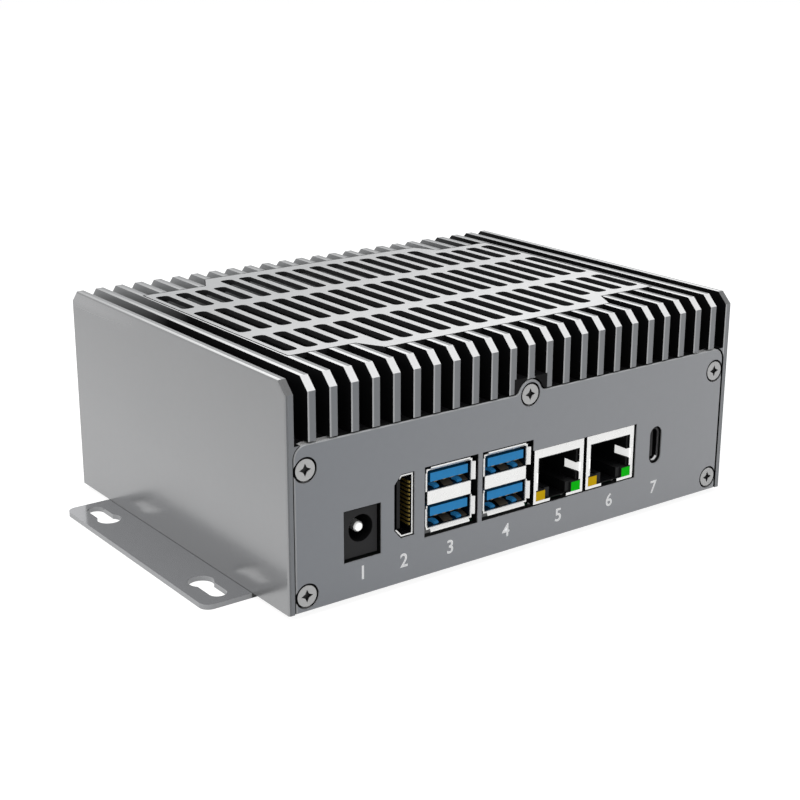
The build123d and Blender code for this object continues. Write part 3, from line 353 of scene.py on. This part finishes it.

# %% [markdown]
# ## The front and rear panels
# The real panels are flat plates with a satin grey coat. The insides of their openings are painted in
# shade, the rims of the front get a painted highlight, and the bottom of each screw's counterbore gets a
# painted spark of light. The openings could be painted face by face, but all that lies behind the panel's
# front plane is inside, so one mask of depth finds it.

# %% Make the panels' finish
PANEL_LEFT_TONE = (0.299, 0.313, 0.337)
PANEL_RIGHT_TONE = (0.425, 0.433, 0.451)
PANEL_RIM_HIGHLIGHT_TONE = (0.50, 0.51, 0.52)
OPENING_SHADE_TONE = (0.006, 0.006, 0.006)
SPARK_TONE = (0.95, 0.95, 0.95)
PANEL_MARGIN = 0.28
CORNER_SCREWS_FROM = 55.0       # the corner screws lie further out than this
MIDDLE_SCREW_REACH = 4.0
MIDDLE_SCREW_LEVEL = 30.0


def panel_coat(name):
    """Satin coat; painted highlights on rims, painted shade on walls of openings and counterbores."""
    coat = Finish(name, specular_ior_level=0.2)
    outside = abs(coat.spot("Y")).over(HALF_DEPTH - PANEL_MARGIN)
    # Painted highlight: the rim, the edges and chamfers at the panel's front.
    rim = abs(coat.facing("Y")).under(0.88) * outside
    off_middle = abs(coat.spot("X"))
    middle_screw = off_middle.under(MIDDLE_SCREW_REACH) * coat.spot("Z").over(MIDDLE_SCREW_LEVEL)
    near_screw = off_middle.over(CORNER_SCREWS_FROM) + middle_screw
    # Painted highlight: a spark on the bottom of each screw's counterbore.
    spark = coat.facing("Z").over(0.93, 16.0) * (1 - outside) * near_screw

    cloud = coat.noise(0.5, 4.0)
    face = coat.blend(rim, across_front(coat, PANEL_LEFT_TONE, PANEL_RIGHT_TONE), PANEL_RIM_HIGHLIGHT_TONE)
    tone = coat.blend(spark, coat.blend(outside, OPENING_SHADE_TONE, face), SPARK_TONE)
    coat.set(base_color=coat.vary(tone, cloud, 0.03))
    coat.set(metallic=outside * 0.3 + spark * 0.7, roughness=0.46 + cloud * 0.08)
    coat.relief(coat.noise(4.0, 2.0), 0.15, 0.02)
    return coat.material


print("panel finish ready")

# %% [markdown]
# ## Bare metal and the mounting ears
# Inner covers and fasteners are bare metal with a cloudy sheen. The ears are smooth rolled sheet that
# mirrors the wall above it, and where an ear passes under the wall a thin seam of painted shade lies on it.
# A perfect mirror would look like glass, so a faint noise, drawn out along the sheet, breaks the mirror
# up as rolling does.

# %% Make the bare metal and the ear sheet
EAR_SIDE_TONE = (0.36, 0.365, 0.375)
SEAM_SHADE_TONE = (0.05, 0.05, 0.05)
SEAM_WIDTH = 0.12


def plain_metal(name, colour, rough=0.42):
    metal = Finish(name, metallic=0.5)
    cloud = metal.noise(0.6, 4.0)
    metal.set(base_color=metal.vary(colour, cloud, 0.06), roughness=rough - 0.05 + cloud * 0.1)
    metal.relief(metal.noise(5.0, 2.0), 0.25, 0.02, 0.15)
    return metal.material


def brushed_sheet(name, colour):
    """Smooth sheet steel with a faint rolling grain along Y and cut, lighter edges."""
    metal = Finish(name, specular_ior_level=0.3)
    grain = metal.noise(3.0, 3.0, (3.0, 0.08, 3.0))
    cloud = metal.noise(0.12, 3.0)
    flat = metal.facing("Z").over(0.6)
    sheet = metal.vary(metal.blend(flat, EAR_SIDE_TONE, colour), grain * 0.5 + cloud * 0.5, 0.04)
    # Painted shade: a thin dark seam on the ear where it passes under the wall.
    past_seam = abs(metal.spot("X")).over(HALF_WIDTH + SEAM_WIDTH, 8.0)
    metal.set(base_color=metal.blend(past_seam, SEAM_SHADE_TONE, sheet))
    metal.set(metallic=0.35 + flat * 0.43, roughness=0.10 + grain * 0.05)
    metal.relief(grain, 0.04, 0.01, 0.12)
    return metal.material


print("bare metal and ear sheet ready")

# %% [markdown]
# ## Plated shells, screws and contacts
# Socket shells are bright nickel in front, screw heads are dull zinc, and contacts are gold; shells and
# screw recesses are painted in shade inside. Deep in a socket a render finds too little light to show
# bright plating, so a mask for each says where the plating is bright, and a weak glow is a painted
# reflection of the room that it would mirror.

# %% Make the plating
PLATED = 0.45
# Painted shade inside sockets and shells.
INSIDE_SHADE_TONE = (0.008, 0.008, 0.009)


def plated_metal(name, colour, bright_where=None, dark=INSIDE_SHADE_TONE, rough=0.22, lit_where=None, lit=0.0):
    """Plated sheet with finger-dulled patches; one mask paints shade inside, one a reflection's glow."""
    metal = Finish(name, specular_ior_level=0.2, emission_strength=lit, metallic=PLATED)
    smear = metal.noise(0.4, 3.0)
    tone = colour
    if bright_where:
        bright = bright_where(metal)
        tone = metal.blend(bright, dark, colour)
        metal.set(metallic=bright * PLATED)
    if lit_where:
        metal.set(emission_color=metal.blend(lit_where(metal), (0, 0, 0), colour))
    metal.set(base_color=metal.vary(tone, smear, 0.04), roughness=rough + smear * 0.1)
    metal.relief(metal.noise(3.0, 2.0), 0.04, 0.005, 0.05)
    return metal.material


print("plating ready")

# %% Where plating is bright
# Painted light and shade: where a mask is 1 the plating is bright, where 0 it is painted in shade.
NETWORK_MIDDLES = (10.0, 26.85)
NETWORK_MOUTH = 6.95            # half the width of the mouth
MOUTH_SPRING_LEVELS = (16.2, 18.6)
OVAL_BOTTOM = 15.0
OVAL_DEPTHS = (1.3, 0.95)       # how far the light gets in, at the bottom and on the side


def in_front(depth_mm):
    """A mask for what lies less than this behind the case's front or before its rear."""
    return lambda metal: abs(metal.spot("Y")).over(HALF_DEPTH - depth_mm, 20.0)


def facing_out(metal):
    return abs(metal.facing("Y")).over(LOOKS_ALONG)


def in_network_mouth(metal):
    """The springs in the mouths of the two network shells."""
    left, right = NETWORK_MIDDLES
    off_middle = abs(abs(metal.spot("X") - (left + right) / 2) - (right - left) / 2)
    low, high = MOUTH_SPRING_LEVELS
    return off_middle.under(NETWORK_MOUTH) * metal.spot("Z").over(low) * metal.spot("Z").under(high)


def network_bright(metal):
    return (facing_out(metal) + in_network_mouth(metal)).clipped()


def network_lit(metal):
    return (facing_out(metal) * 0.14 + in_network_mouth(metal)).clipped()


def oval_glint(metal):
    """The rounded bottom of the oval opening, where the light from above lands."""
    in_reach = abs(metal.spot("Y")).over(HALF_DEPTH - OVAL_DEPTHS[0])
    return metal.facing("Z").over(0.35) * metal.spot("Z").under(OVAL_BOTTOM) * in_reach


def oval_bright(metal):
    """The rim of the oval shell and the front of its inner wall that faces the light."""
    in_reach = abs(metal.spot("Y")).over(HALF_DEPTH - OVAL_DEPTHS[1], 20.0)
    inner = metal.facing("X").under(-0.4) * in_reach * 0.6
    return (facing_out(metal) * 0.06 + inner + oval_glint(metal)).clipped()


print("masks for plating ready")

# %% [markdown]
# ## Plastics, boards and lenses
# Socket cores are glass-filled black plastic, tongues are dyed blue, lamps are small clear lenses over a lit
# chip, and boards are copper under a green coat. A lens could be real glass over a chip, but it would turn to
# noise at this size, so its colour glows a little instead. The plastics differ in gloss, so one maker takes
# it as a value.

# %% Make plastics, lenses and boards
SEAT_TONE = (0.035, 0.035, 0.036)


def moulded(name, colour, rough=0.5, glow=0.0, unshaded_where=None):
    plastic = Finish(name, specular_ior_level=0.2, emission_strength=glow)
    cloud = plastic.noise(0.8, 3.0)
    # Painted shade: faces outside the mask get a much darker copy; a glow is painted light.
    tone = plastic.blend(unshaded_where(plastic), shade(colour, 0.12), colour) if unshaded_where else colour
    tint = plastic.vary(tone, cloud, 0.1)
    plastic.set(base_color=tint, emission_color=tint)
    plastic.set(roughness=rough - 0.06 + cloud * 0.12)
    plastic.relief(plastic.noise(2.5, 2.0), 0.25, 0.02, 0.08)
    return plastic.material


def lens(name, colour, glow):
    """A dyed lens in its grey seat, lit faintly by the chip behind it: the colour shows in front only."""
    clear = Finish(name, roughness=0.3, specular_ior_level=0.05, emission_strength=glow)
    cloud = clear.noise(0.9, 2.0)
    window = facing_out(clear) * clear.edges(0.12).under(0.35, 4.0)
    tint = clear.vary(clear.blend(window, SEAT_TONE, colour), cloud, 0.1)
    clear.set(base_color=tint, emission_color=clear.blend(window, (0, 0, 0), tint))
    clear.relief(clear.noise(3.0, 2.0), 0.1, 0.01, 0.06)
    return clear.material


def circuit_board(name, colour):
    """Green coat over copper: a cell pattern stands for the tracks under it."""
    board = Finish(name, roughness=0.35, coat_weight=0.4)
    cells = board.add("ShaderNodeTexVoronoi", {"feature": "DISTANCE_TO_EDGE", "distance": "MANHATTAN"},
                      {"Vector": board.place((1, 1, 0)), "Scale": 0.35})
    tracks = (1 - cells * 6).clipped()
    board.set(base_color=board.blend(tracks * 0.7, colour, shade(colour, 2.2)))
    board.relief(tracks, 0.4, 0.03)
    return board.material


print("plastic finishes ready")

# %% [markdown]
# ## Which piece has which finish
# A CAD piece whose shape is right stays and only takes a new material. It could be dressed on a line of its
# own, but a list of finishes with the nodes that wear them shows at a glance which pieces are alike.

# %% Dress the CAD nodes
NICKEL = (0.95, 0.95, 0.94)
# Painted shade: the oval shell's nickel is a darker copy of the others.
OVAL_SHADED_NICKEL = (0.60, 0.60, 0.61)
ZINC = (0.51, 0.512, 0.51)
# Painted shade in the recesses of the screw heads.
RECESS_SHADE_TONE = (0.035, 0.035, 0.036)
BLUE_SHADE = (0.004, 0.012, 0.024)
gold = plated_metal("gold_contact", (0.32, 0.23, 0.055), rough=0.3)

wardrobe = [
    (case_metal("case_metal"), ["finned_housing"]),
    (plate_metal("plate_metal"), ["slotted_top_cover"]),
    (plain_metal("inside_metal", (0.4, 0.4, 0.4)), ["bottom_cover", "heat_block"]),
    (panel_coat("panel_coat"), ["front_panel", "rear_panel"]),
    (brushed_sheet("ear_sheet", (0.40, 0.405, 0.418)), ["mounting_ear_left", "mounting_ear_right"]),
    (plated_metal("screw_face", ZINC, in_front(0.25), dark=RECESS_SHADE_TONE, rough=0.34),
     ["front_panel_screws", "rear_panel_screws"]),
    (plain_metal("screw_plate", (0.45, 0.45, 0.44), rough=0.34),
     ["ear_screws", "cover_screws", "board_screws"]),
    # Painted highlights and reflections: the glows on plated faces that look out and in socket mouths.
    (plated_metal("bright_nickel", NICKEL, lit_where=facing_out, lit=0.3),
     ["power_jack_pin", "module_posts", "capacitors"]),
    (plated_metal("data_nickel", NICKEL, in_front(0.95), dark=BLUE_SHADE, lit_where=facing_out, lit=0.1),
     ["data_socket_shells"]),
    (plated_metal("network_nickel", NICKEL, network_bright, lit_where=network_lit, lit=0.7),
     ["network_socket_shells"]),
    (plated_metal("video_nickel", NICKEL, facing_out), ["video_socket_shell"]),
    (plated_metal("oval_nickel", OVAL_SHADED_NICKEL, oval_bright, rough=0.3, lit_where=oval_glint, lit=0.7),
     ["oval_socket_shell"]),
    (plain_metal("chip_metal", (0.12, 0.12, 0.125)), ["processor_chip"]),
    (gold, ["video_socket_contacts", "data_socket_contacts"]),
    (moulded("black_core", (0.004, 0.004, 0.0045)),
     ["network_socket_cores", "video_socket_core", "module_socket", "storage_socket", "power_coils",
      "memory_chips"]),
    (moulded("grey_tongue", (0.045, 0.045, 0.047)), ["oval_socket_tongue"]),
    (moulded("jack_plastic", (0.026, 0.026, 0.027), rough=0.6, unshaded_where=in_front(0.95)),
     ["power_jack_body"]),
    # The blue tongues glow with painted light, with painted shade on their hidden faces.
    (moulded("blue_tongue", (0.018, 0.19, 0.44), rough=0.4, glow=0.45, unshaded_where=facing_out),
     ["data_socket_tongues"]),
    (lens("amber_lens", (0.47, 0.295, 0.002), glow=0.55), ["network_lamps_amber"]),
    (lens("green_lens", (0.001, 0.37, 0.003), glow=0.6), ["network_lamps_green"]),
    (circuit_board("board_coat", (0.01, 0.09, 0.04)), ["main_board", "compute_module", "storage_card"]),
    (moulded("thermal_pad", (0.35, 0.37, 0.40), rough=0.8), ["thermal_pads"]),
]
for material, members in wardrobe:
    for member in members:
        nodes[member].data.materials.clear()
        nodes[member].data.materials.append(material)
print("dressed", sum(len(members) for _, members in wardrobe), "of", len(nodes), "nodes")

# %% [markdown]
# ## How a strip of spring sheet is made
# Each real socket holds strips of springy sheet. A strip is a path with a width and a thickness. A curve
# object with a flat profile would do the same, but a short list of corners shows how a strip is made, and
# many strips then join into one piece.

# %% Make strips
def ribbon(path, side, width, thick):
    """Corners and faces of a strip that follows a path, in millimetres."""
    side = Vector(side)
    corners = []
    for index, point in enumerate(path):
        before, after = path[max(index - 1, 0)], path[min(index + 1, len(path) - 1)]
        face = side.cross(Vector(after) - Vector(before)).normalized() * (thick / 2)
        corners += [Vector(point) + side * (width / 2 * s) + face * t
                    for s, t in ((-1, -1), (1, -1), (1, 1), (-1, 1))]
    faces = [(0, 1, 2, 3), tuple(len(corners) - 4 + i for i in (3, 2, 1, 0))]
    for first in range(0, len(corners) - 4, 4):
        faces += [(first + i, first + 4 + i, first + 4 + (i + 1) % 4, first + (i + 1) % 4) for i in range(4)]
    return corners, faces


def strip_piece(name, ribbons, material):
    """Many strips joined in one piece."""
    corners, faces = [], []
    for points, loops in ribbons:
        faces += [tuple(len(corners) + i for i in loop) for loop in loops]
        corners += [point * MM for point in points]
    mesh = bpy.data.meshes.new(name)
    mesh.from_pydata(corners, [], faces)
    mesh.validate()
    return place(name, mesh, material)


def place(name, mesh, material):
    """Puts a mesh in the scene as a piece that rides on the body and wears a finish."""
    piece = bpy.data.objects.new(name, mesh)
    bpy.context.scene.collection.objects.link(piece)
    mesh.materials.clear()
    mesh.materials.append(material)
    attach(piece, "root")
    return piece


print("strip maker ready")

# %% [markdown]
# ## Springs in the data sockets
# In a real socket the mould holds one end of each spring, and the bent free end presses on the plug: four
# contacts hang under the tongue, and two broad springs and two blue rests stand on the floor. They could be
# solids in the CAD, but bent sheet this thin is simpler as a swept strip.

# %% Bend the springs
STACK_MIDDLES = (-23.2, -6.5)
STACK_FLOORS = (11.2, 20.0)
STACK_TONGUES = (13.9, 22.15)
CONTACT_SHIFTS = (-3.5, -1.0, 1.0, 3.5)
FLOOR_SPRINGS = ((0.3, 2.6), (5.1, 1.5))
REST_SHIFTS = (-3.3, 3.3)
REST_PROFILE = ((1.1, 0.35), (1.4, 0.6), (2.2, 0.75), (3.4, 0.6))
SPRING_STEEL = (0.36, 0.31, 0.25)
ACROSS = (1, 0, 0)


def bulge(x, level, drop, near=1.3, far=5.5, steps=8):
    """A path from far inside to the front that dips, or rises where the drop is negative."""
    path = []
    for step in range(steps + 1):
        part = step / steps
        dip = drop * math.sin(math.pi * part ** 0.8)
        path.append((x, FRONT + far + (near - far) * part, UNDERSIDE + level - dip))
    return path


contact_springs, floor_springs, rests = [], [], []
for middle in STACK_MIDDLES:
    for floor_level, tongue_level in zip(STACK_FLOORS, STACK_TONGUES):
        for shift in CONTACT_SHIFTS:
            path = bulge(middle + shift, tongue_level - 0.35, 0.75)
            contact_springs.append(ribbon(path, ACROSS, 0.75, 0.14))
        for shift, width in FLOOR_SPRINGS:
            path = bulge(middle + shift, floor_level + 0.15, -0.75)
            floor_springs.append(ribbon(path, ACROSS, width, 0.16))
        for shift in REST_SHIFTS:
            path = [(middle + shift, FRONT + depth, UNDERSIDE + floor_level + rise)
                    for depth, rise in REST_PROFILE]
            rests.append(ribbon(path, ACROSS, 1.2, 0.6))
bronze = plated_metal("spring_bronze", SPRING_STEEL, rough=0.35)
# Painted shade: the floor springs take a much darker copy of the spring metal.
steel = plated_metal("spring_steel_shaded", shade(SPRING_STEEL, 0.35), rough=0.35)
# The blue rests glow with painted light.
blue_rest = moulded("blue_rest", (0.015, 0.14, 0.33), rough=0.45, glow=0.35)
strip_piece("data_contact_springs", contact_springs, bronze)
strip_piece("data_floor_springs", floor_springs, steel)
strip_piece("data_plug_rests", rests, blue_rest)
print("springs:", len(contact_springs), "contacts,", len(floor_springs), "in floors,", len(rests), "rests")

# %% [markdown]
# ## Contact tails of the video socket
# The CAD's contacts end inside. In the real socket each one runs on and hooks over the liner's front edge,
# and those bright ends are what shows from outside. They are the same kind of strip, turned on its side.

# %% Hook the video contacts
CONTACT_COUNT = 11
CONTACT_SPACING = 1.0
TAIL_PATH = ((2.5, 0.0), (1.8, -0.04), (1.2, 0.02), (0.9, 0.16), (0.75, 0.34))
contacts_low, contacts_high = box_mm("video_socket_contacts")
middle_level = (contacts_low.z + contacts_high.z) / 2
tails = []
for number in range(CONTACT_COUNT):
    level = middle_level + (number - (CONTACT_COUNT - 1) / 2) * CONTACT_SPACING
    path = [(contacts_low.x + shift, FRONT + depth, level) for depth, shift in TAIL_PATH]
    tails.append(ribbon(path, (0, 0, 1), 0.5, 0.1))
strip_piece("video_contact_tails", tails, gold)
print("tails:", len(tails))

# %% [markdown]
# ## Port numbers
# A white number under each socket tells which is which. Print is a thin film of ink, so each number is a text
# object turned into a flat mesh that lies just on the panel. An image could carry the print too, but it would
# blur when seen from near.

# %% Print the numbers
PRINT_HEIGHT = 3.3 * MM
PRINT_LEVEL = 6.4 * MM
PRINT_FILM = 0.03 * MM
FONT_FACTOR = 1.4               # a font's size for each unit of its figures' height
STROKE_FACTOR = 0.02            # the strokes are made a little bolder
JACK_MIDDLE = -47.7
VIDEO_MIDDLE = -36.4
OVAL_MIDDLE = 42.25
panel_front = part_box("front_panel")[0].y


def ink(name):
    # The ink glows faintly: painted light that keeps the print white.
    white = Finish(name, roughness=0.55, emission_color=(1.0, 1.0, 1.0), emission_strength=0.22)
    wear = white.noise(2.0, 4.0)
    white.set(base_color=white.blend(wear, (0.86, 0.87, 0.88), (0.94, 0.95, 0.96)))
    white.relief(white.noise(6.0, 2.0), 0.2, 0.01)
    return white.material


def printed(name, words, x):
    """Flat lettering on the panel's front, centred on x."""
    curve = bpy.data.curves.new(name, "FONT")
    curve.body = words
    curve.align_x = "CENTER"
    curve.align_y = "CENTER"
    curve.size = PRINT_HEIGHT * FONT_FACTOR
    curve.extrude = PRINT_FILM / 2
    curve.offset = PRINT_HEIGHT * STROKE_FACTOR
    text = bpy.data.objects.new(name, curve)
    bpy.context.scene.collection.objects.link(text)
    bpy.context.view_layer.update()
    mesh = bpy.data.meshes.new_from_object(text.evaluated_get(bpy.context.evaluated_depsgraph_get()))
    bpy.data.objects.remove(text)
    turn = Matrix.Translation((x, panel_front, PRINT_LEVEL)) @ Matrix.Rotation(math.pi / 2, 4, "X")
    mesh.transform(turn)
    return place(name, mesh, print_ink)


print_ink = ink("print_ink")
label_places = [JACK_MIDDLE, VIDEO_MIDDLE, *STACK_MIDDLES, *NETWORK_MIDDLES, OVAL_MIDDLE]
for number, x in enumerate(label_places, 1):
    printed("port_number_%d" % number, str(number), x * MM)
print("printed", len(label_places), "port numbers")

# %% [markdown]
# ## Floor and sky
# The photograph stands on plain white. More light on the floor would whiten it, but would burn the object out
# too. So the floor takes the object's soft shadow in a grey paint and adds a light of its own that only the
# camera and reflections see. The sky is white in the same way, and weak as a light.

# %% Build the floor and the sky
FLOOR_REACH = 6.0
FLOOR_DEPTH = 0.0001
FLOOR_TONE = (0.28, 0.28, 0.28)
FLOOR_GLOW = (0.90, 0.90, 0.90)
SKY_LEVEL = 0.32
RAYS_THAT_SEE = ("Is Camera Ray", "Is Glossy Ray", "Is Transmission Ray")


def seen_directly(maker):
    """1 for camera, glossy and transmission rays, 0 for the rays that carry light."""
    camera_ray, glossy_ray, clear_ray = (maker.add("ShaderNodeLightPath", output=title)
                                         for title in RAYS_THAT_SEE)
    return (camera_ray + glossy_ray + clear_ray).clipped()


def stage_floor():
    mesh = bpy.data.meshes.new("floor")
    sides = ((-1, -1), (1, -1), (1, 1), (-1, 1))
    corners = [(x * FLOOR_REACH, y * FLOOR_REACH, -FLOOR_DEPTH) for x, y in sides]
    mesh.from_pydata(corners, [], [(0, 1, 2, 3)])
    floor = bpy.data.objects.new("floor", mesh)
    bpy.context.scene.collection.objects.link(floor)
    paint = Finish("floor_paint", roughness=1.0, specular_ior_level=0.0, base_color=FLOOR_TONE,
                   emission_strength=1.0)
    paint.set(emission_color=paint.blend(seen_directly(paint), (0, 0, 0), FLOOR_GLOW))
    mesh.materials.append(paint.material)


def sky():
    world = bpy.data.worlds.new("sky")
    world.use_nodes = True
    bpy.context.scene.world = world
    maker = NodeMaker(world.node_tree)
    light = world.node_tree.nodes["Background"]
    maker.feed(light.inputs["Color"], (1, 1, 1))
    maker.feed(light.inputs["Strength"], seen_directly(maker) * (1 - SKY_LEVEL) + SKY_LEVEL)


stage_floor()
sky()
print("floor and sky ready")

# %% [markdown]
# ## Lamps
# Three soft lamps shape the object: the main one above, one at its left, a weak one in front. At this level
# a colour renders about as it is written. The lamps are kept out of reflections, because their mirror image
# would burn the fins' tops and the ears out to white in a view from above.

# %% Hang the lamps
AIM = (0, 0, 0.03)


def lamp(name, place_m, size_m, power):
    data = bpy.data.lights.new(name, "AREA")
    data.shape = "RECTANGLE"
    data.size, data.size_y = size_m
    data.energy = power
    piece = bpy.data.objects.new(name, data)
    bpy.context.scene.collection.objects.link(piece)
    piece.location = place_m
    piece.rotation_euler = (Vector(AIM) - Vector(place_m)).to_track_quat("-Z", "Y").to_euler()
    piece.visible_glossy = False
    return data


lamps = [lamp("top_lamp", (-0.15, 0.1, 1.1), (1.2, 1.0), power=11.0),
         lamp("left_lamp", (-1.2, 0.1, 0.5), (0.8, 0.8), power=5.0),
         lamp("front_lamp", (0.3, -1.2, 0.5), (0.9, 0.6), power=2.0)]
print("lamps:", len(lamps), "with", sum(light.energy for light in lamps), "watts")

# %% [markdown]
# ## The camera of the photograph
# The fin ends and the case's corners give the view: 37 degrees to the left of the front, 18 degrees above it,
# with a 69 mm lens. The camera could be aimed by angles about three axes in turn, but three directions in a
# matrix are plainer: across the picture, up, and back from the object.

# %% Set the camera
AZIMUTH = math.radians(-36.52)
ELEVATION = math.radians(17.65)
ROLL = math.radians(0.17)
DISTANCE = 400.61 * MM
TARGET = Vector((0.761, 1.388, 24.025)) * MM
LENS = 69.15
SENSOR_WIDTH = 36.0

back = Vector((math.sin(AZIMUTH) * math.cos(ELEVATION), -math.cos(AZIMUTH) * math.cos(ELEVATION),
               math.sin(ELEVATION)))
level_across = Vector((math.cos(AZIMUTH), math.sin(AZIMUTH), 0))
level_up = back.cross(level_across)
across = level_across * math.cos(ROLL) + level_up * math.sin(ROLL)
upward = level_up * math.cos(ROLL) - level_across * math.sin(ROLL)
camera_data = bpy.data.cameras.new("camera")
camera_data.lens = LENS
camera_data.sensor_width = SENSOR_WIDTH
camera = bpy.data.objects.new("camera", camera_data)
bpy.context.scene.collection.objects.link(camera)
turned = Matrix((across, upward, back)).transposed().to_4x4()
camera.matrix_world = Matrix.Translation(TARGET + back * DISTANCE) @ turned
bpy.context.scene.camera = camera
bpy.context.scene.view_settings.view_transform = "Standard"
print("camera at", [round(v / MM) for v in camera.location], "mm")
